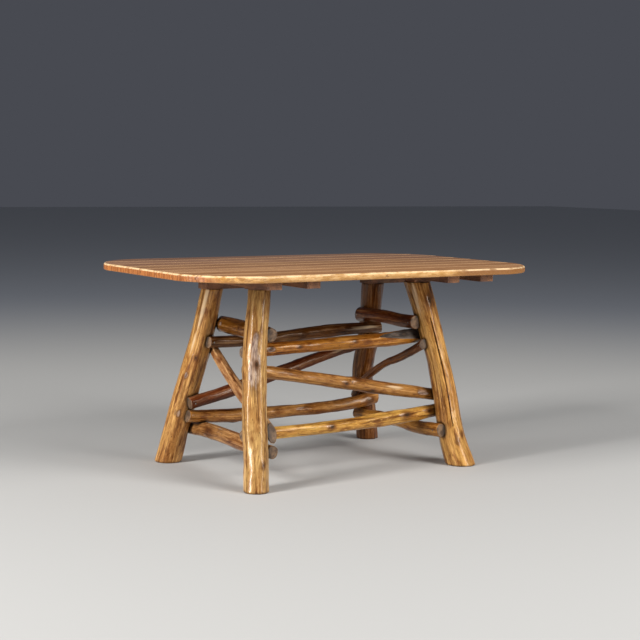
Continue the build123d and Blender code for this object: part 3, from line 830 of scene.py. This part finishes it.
def plank(name, seed, warm, cool, low_seam, high_seam):
    """A flat-sawn hickory board under worn varnish: tan figure with dark pores. Its rounded
    outer edge is rubbed golden, darker to the right, and darker below as painted shade; its ends
    are orange-brown end grain, and its upper arrises carry a painted highlight. At each seam the
    front chamfer and a band beside it carry a painted highlight and sheen, the groove is dark,
    and a darker band lies behind it. The underside is darkened as painted shade."""
    material, tree = new_material(name)
    place = add_node(tree, "TexCoord", output="Object")
    along, depth, level = add_node(tree, "SeparateXYZ", (place,)).node.outputs
    normal = add_node(tree, "NewGeometry", output="Normal")
    facing = add_node(tree, "SeparateXYZ", (normal,)).node.outputs
    shift = (0.9 * seed, 0.37 * seed, 0.19 * seed)
    tone = blotches(tree, place, (500, 60, 50), 3.0, offset=shift)
    tone = add_node(tree, "MapRange", (tone, 0.35, 0.65), **SOFTLY)
    lines = blotches(tree, place, (350, 6, 20), 4.0, offset=shift)
    pores = blotches(tree, place, (30, 1.2, 4), 2.0, offset=shift)
    patch = blotches(tree, place, (160, 18, 20), 4.0, 0.6, offset=(seed, 3, 7))
    contours = blotches(tree, place, (900, 75, 60), 1.5, 0.4, offset=shift)
    contours = add_node(tree, "Math", (contours, 2 * pi * FIGURE_LINES), operation="MULTIPLY")
    contours = add_node(tree, "Math", (lines, 2.5, contours), operation="MULTIPLY_ADD")
    figure = add_node(tree, "Math", (contours,), operation="SINE")
    colour = add_node(tree, "Mix", {0: tone, 6: cool, 7: warm}, **COLOURS)
    colour = coated(
        tree,
        colour,
        (patch, 0.55, 0.72, 0.36, "#7E5232"),
        (figure, 0.1, 0.95, 0.32, "#7A4D2C"),
        (lines, 0.5, 0.3, 0.50, "#6B4224"),
        (pores, 0.42, 0.25, 0.6, "#4A2C16"),
    )

    # Which way the surface faces tells the underside, the rounded edge, its upper arris and
    # the chamfers of the seams apart.
    under, sloping, upward, not_flat, chamfer = (
        add_node(tree, "MapRange", (facing["Z"], start, full), **SOFTLY)
        for start, full in ((-0.6, -0.95), (0.985, 0.80), (0.25, 0.50), (0.995, 0.90), (0.35, 0.60))
    )
    seen = add_node(tree, "Math", (1.0, under), operation="SUBTRACT")
    past_low = add_node(tree, "Math", (depth, low_seam), operation="SUBTRACT")
    past_high = add_node(tree, "Math", (high_seam, depth), operation="SUBTRACT")
    # Near the front edge of each board a pale band is a painted sheen where the board catches the light;
    # near its back edge lies a darker band.
    seam_sheen = add_node(tree, "MapRange", (past_low, 21 * MM, 7 * MM, 0.0, 0.45), **SOFTLY)
    seam_sheen = add_node(tree, "Math", (seam_sheen, seen), operation="MULTIPLY")
    colour = add_node(tree, "Mix", {0: seam_sheen, 6: colour, 7: "#D6B08A"}, **COLOURS)
    colour = coated(tree, colour, (past_high, 19 * MM, 5 * MM, 0.70, "#5E3C26"))
    # The groove's chamfers end about 4 mm from the seam.
    from_seam = add_node(tree, "Math", (past_low, past_high), operation="MINIMUM")
    groove = add_node(tree, "MapRange", (from_seam, 4.4 * MM, 3.2 * MM), **SOFTLY)
    open_face = add_node(tree, "Math", (1.0, groove), operation="SUBTRACT")
    dark_side = add_node(tree, "MapRange", (past_high, 4.2 * MM, 2.2 * MM), **SOFTLY)
    bottom = add_node(tree, "MapRange", (past_low, 1.6 * MM, 0.8 * MM), **SOFTLY)
    joint = add_node(tree, "Math", (dark_side, bottom), operation="MAXIMUM")

    worn = blotches(tree, place, (60, 20, 20), 4.0, offset=(2, 6, 3))
    spots = blotches(tree, place, (22, 14, 10), 2.0, offset=(9, 4, 1))
    # The rounded edge: golden with worn patches and spots, darker to the right, and darker towards its
    # lower rim as painted shade.
    golden = coated(
        tree,
        "#B68544",
        (worn, 0.38, 0.66, 1.0, "#E2B77C"),
        (pores, 0.42, 0.28, 0.5, "#7A5228"),
        (spots, 0.68, 0.74, 0.75, "#6A3C1C"),
        (along, *DARKER_PART, 0.95, "#875A32"),
        (level, *LOWER_EDGE_SHADE, 0.55, "#8E6234"),
    )
    corner = add_node(tree, "MapRange", (along, *LEFT_CORNER), **SOFTLY)
    smudge = add_node(tree, "MapRange", (spots, 0.42, 0.56), **SOFTLY)
    corner = add_node(tree, "Math", (corner, smudge), operation="MULTIPLY")
    corner = add_node(tree, "Math", (corner, 0.5), operation="MULTIPLY")
    golden = add_node(tree, "Mix", {0: corner, 6: golden, 7: "#84593A"}, **COLOURS)
    # Painted shade: the underside is darkened.
    shaded = add_node(tree, "Math", (under, 0.8), operation="MULTIPLY")
    shading = {0: shaded, 6: colour, 7: "#B58E6E"}
    colour = add_node(tree, "Mix", shading, blend_type="MULTIPLY", **COLOURS)
    edge = add_node(tree, "Math", (sloping, open_face), operation="MULTIPLY")
    edge = add_node(tree, "Math", (edge, seen), operation="MULTIPLY")
    colour = add_node(tree, "Mix", {0: edge, 6: colour, 7: golden}, **COLOURS)
    streaks = blotches(tree, place, (20, 6, 50), 3.0, offset=(6, 1, 4))
    end_grain = coated(tree, "#7E4823", (streaks, 0.34, 0.66, 1.0, "#B0703C"))
    endwise = add_node(tree, "Math", (facing["X"],), operation="ABSOLUTE")
    colour = coated(tree, colour, (endwise, 0.55, 0.85, 1.0, end_grain))
    # A painted highlight along the upper arrises, broken by the worn pattern.
    arris_highlight = add_node(tree, "Math", (upward, not_flat), operation="MULTIPLY")
    bright = add_node(tree, "MapRange", (worn, 0.36, 0.56, 0.15, 0.80), **SOFTLY)
    for mask in (bright, open_face):
        arris_highlight = add_node(tree, "Math", (arris_highlight, mask), operation="MULTIPLY")
    colour = add_node(tree, "Mix", {0: arris_highlight, 6: colour, 7: "#F0D2A6"}, **COLOURS)
    # A painted highlight on the front chamfer of each seam, then the dark groove.
    chamfer_highlight = add_node(tree, "MapRange", (past_low, 4.4 * MM, 3.4 * MM), **SOFTLY)
    chamfer_highlight = add_node(tree, "Math", (chamfer_highlight, chamfer), operation="MULTIPLY")
    for mask, tint in ((chamfer_highlight, "#CDA376"), (joint, "#3E2714")):
        cover = add_node(tree, "Math", (mask, 0.8), operation="MULTIPLY")
        colour = add_node(tree, "Mix", {0: cover, 6: colour, 7: tint}, **COLOURS)

    satin = add_node(tree, "MapRange", (tone, 0.0, 1.0, 0.54, 0.62), **SOFTLY)
    gleam = add_node(tree, "Math", (edge, 0.20), operation="MULTIPLY")
    satin = add_node(tree, "Math", (satin, gleam), operation="SUBTRACT")
    relief = add_node(tree, "Math", (worn, edge), operation="MULTIPLY")
    relief = add_node(tree, "Math", (relief, 4.0), operation="MULTIPLY")
    relief = add_node(tree, "Math", (lines, 0.3, relief), operation="MULTIPLY_ADD")
    bump = add_node(tree, "Bump", {"Strength": 0.5, "Distance": 1.2 * MM, "Height": relief})
    surface = {"Base Color": colour, "Roughness": satin, "Normal": bump, "Specular IOR Level": 0.3}
    add_node(tree, "OutputMaterial", {"Surface": add_node(tree, "BsdfPrincipled", surface)})
    return material


def stained_timber():
    """Rough-sawn battens and blocks, stained brown: open grain and pale saw marks."""
    material, tree = new_material("stained_rough_sawn_timber")
    place = add_node(tree, "TexCoord", output="Object")
    tone = blotches(tree, place, (50, 160, 50), 3.0)
    lines = blotches(tree, place, (4, 90, 6), 3.0, offset=(3, 1, 2))
    saw_marks = blotches(tree, place, (50, 3.5, 50), 1.0, offset=(1, 5, 2))
    colour = coated(
        tree,
        "#5E3A24",
        (tone, 0.35, 0.65, 1.0, "#8E5C36"),
        (lines, 0.48, 0.30, 0.6, "#4A2C16"),
        (saw_marks, 0.55, 0.75, 0.25, "#A57C4C"),
    )
    relief = add_node(tree, "Math", (saw_marks, 0.6, lines), operation="MULTIPLY_ADD")
    bump = add_node(tree, "Bump", {"Strength": 0.4, "Distance": 0.8 * MM, "Height": relief})
    shader = add_node(tree, "BsdfPrincipled", {"Base Color": colour, "Roughness": 0.6, "Normal": bump})
    add_node(tree, "OutputMaterial", {"Surface": shader})
    return material


def dull_steel():
    """Bright-drawn steel gone dull: grey with brown tarnish in small blotches."""
    material, tree = new_material("tarnished_steel")
    place = add_node(tree, "TexCoord", output="Object")
    tarnish = blotches(tree, place, (3, 3, 3), 3.0)
    colour = coated(tree, "#8F8C86", (tarnish, 0.45, 0.65, 1.0, "#5A4636"))
    sheen = add_node(tree, "MapRange", (tarnish, 0.4, 0.7, 0.35, 0.6), **SOFTLY)
    shader = add_node(tree, "BsdfPrincipled", {"Base Color": colour, "Roughness": sheen, "Metallic": 1.0})
    add_node(tree, "OutputMaterial", {"Surface": shader})
    return material


def studio_floor():
    """A matt painted studio floor: plain pale grey, falling off into the backdrop far away."""
    material, tree = new_material("pale_floor")
    place = add_node(tree, "TexCoord", output="Object")
    away = add_node(tree, "VectorMath", (place,), output="Value", operation="LENGTH")
    colour = coated(tree, "#BDBEBF", (away, 2.6, 7.5, 1.0, "#9AA0AC"))
    surface = {"Base Color": colour, "Roughness": 0.75, "Specular IOR Level": 0.2}
    add_node(tree, "OutputMaterial", {"Surface": add_node(tree, "BsdfPrincipled", surface)})
    return material


def finish_with(piece, *materials):
    """Gives a piece its materials, in slot order."""
    faces = [face.material_index for face in piece.data.polygons]
    piece.data.materials.clear()
    for material in materials:
        piece.data.materials.append(material)
    if len(materials) > 1:
        piece.data.polygons.foreach_set("material_index", faces)


poles = {}
for tree_number, (name, leg) in enumerate(LEGS.items(), start=FIRST_LEG_TREE):
    poles[name] = grow_leg(name, leg, tree_number)
for tree_number, (name, rail) in enumerate(RAILS.items(), start=FIRST_RAIL_TREE):
    poles[name] = grow_rail(name, rail, tree_number)
paint_joint_shade(poles)

hickory = peeled_hickory()
end_grain = sawn_end("weathered_end_grain", "#463120", "#82664B")
hewn_face = sawn_end("weathered_hewn_face", "#2C241E", "#6B615A")
for name, pole in poles.items():
    tint = pole.data.attributes.new("varnish_and_shade", "FLOAT_COLOR", "POINT")
    tint.data.foreach_set("color", linear(VARNISH_AND_SHADE[name]) * len(pole.data.vertices))
    finish_with(pole, hickory, end_grain, hewn_face)

last = len(BOARD_TONES)
for number, (warm, cool) in enumerate(BOARD_TONES, start=1):
    low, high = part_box(f"top_board_{number}")
    # The two outer edges of the top aren't seams, so their seam lies far outside.
    low_seam = low[1] if number > 1 else low[1] - 1
    high_seam = high[1] if number < last else high[1] + 1
    board = plank(f"hickory_plank_{number}", number, warm, cool, low_seam, high_seam)
    finish_with(nodes[f"top_board_{number}"], board)
timber = stained_timber()
for name in nodes:
    if name.startswith(("batten_outer", "batten_inner", "leg_cleat", "head_block", "leg_pins")):
        finish_with(nodes[name], timber)
steel = dull_steel()
for name in ("batten_screws", "cleat_screws", "block_screws", "rail_nails"):
    finish_with(nodes[name], steel)

# ---- floor, light and camera -------------------------------------------------------------
FLOOR_SIZE = 60
LAMP_COLOUR = (1.0, 0.97, 0.92)
# Each lamp's place, the point it is aimed at, its width, its height and its watts.
LAMPS = {
    "left_softbox": ((-6.8, -0.5, 4.5), (0, 0, 0.4), 2.2, 2.2, 430),
    "front_softbox": ((2.5, -5.8, 4.2), (0, 0, 0.4), 3.6, 3.6, 470),
    "left_strip": ((-7.2, -0.5, 2.1), (0, 0, 0.6), 0.7, 2.6, 340),
    "front_strip": ((2.6, -6.2, 1.75), (0, 0, 0.6), 0.7, 2.8, 100),
}
SKY_STRENGTH = 0.15
CAMERA_PLACE = (-3.0794, -4.4325, 1.1193)
CAMERA_YAW = radians(34.88)
CAMERA_PITCH = radians(6.05)
CAMERA_ROLL = radians(0.98)
CAMERA_LENS = 80.68
CAMERA_SENSOR = 36

bpy.ops.mesh.primitive_plane_add(size=FLOOR_SIZE, location=(0, 0, 0))
floor = bpy.context.object
floor.name = "floor"
finish_with(floor, studio_floor())
floor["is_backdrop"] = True

world = bpy.data.worlds.new("studio")
bpy.context.scene.world = world
world.use_nodes = True
sky = world.node_tree
sky.nodes.clear()
ray = add_node(sky, "LightPath").node.outputs
seen = add_node(sky, "Math", (ray["Is Camera Ray"], ray["Is Glossy Ray"]), operation="MAXIMUM")
seen = add_node(sky, "Math", (seen, ray["Is Transmission Ray"]), operation="MAXIMUM")
soft = add_node(sky, "Background", {"Color": "#F6F6F8", "Strength": SKY_STRENGTH})
backdrop = add_node(sky, "Background", {"Color": "#484A51", "Strength": 1.0})
add_node(sky, "OutputWorld", {"Surface": add_node(sky, "MixShader", (seen, soft, backdrop))})

for name, (place, target, width, height, watts) in LAMPS.items():
    bpy.ops.object.light_add(type="AREA", location=place)
    lamp = bpy.context.object
    lamp.name = name
    lamp.data.shape = "RECTANGLE"
    lamp.data.size = width
    lamp.data.size_y = height
    lamp.data.energy = watts
    lamp.data.color = LAMP_COLOUR
    lamp.rotation_euler = (Vector(target) - Vector(place)).to_track_quat("-Z", "Y").to_euler()

camera_data = bpy.data.cameras.new("camera")
camera_data.sensor_width = CAMERA_SENSOR
camera_data.lens = CAMERA_LENS
camera = bpy.data.objects.new("camera", camera_data)
bpy.context.scene.collection.objects.link(camera)
aim = Matrix.Rotation(-CAMERA_YAW, 4, "Z") @ Matrix.Rotation(pi / 2 - CAMERA_PITCH, 4, "X")
camera.matrix_world = Matrix.Translation(CAMERA_PLACE) @ aim @ Matrix.Rotation(CAMERA_ROLL, 4, "Z")
bpy.context.scene.camera = camera
bpy.context.scene.view_settings.view_transform = "Standard"

low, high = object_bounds()
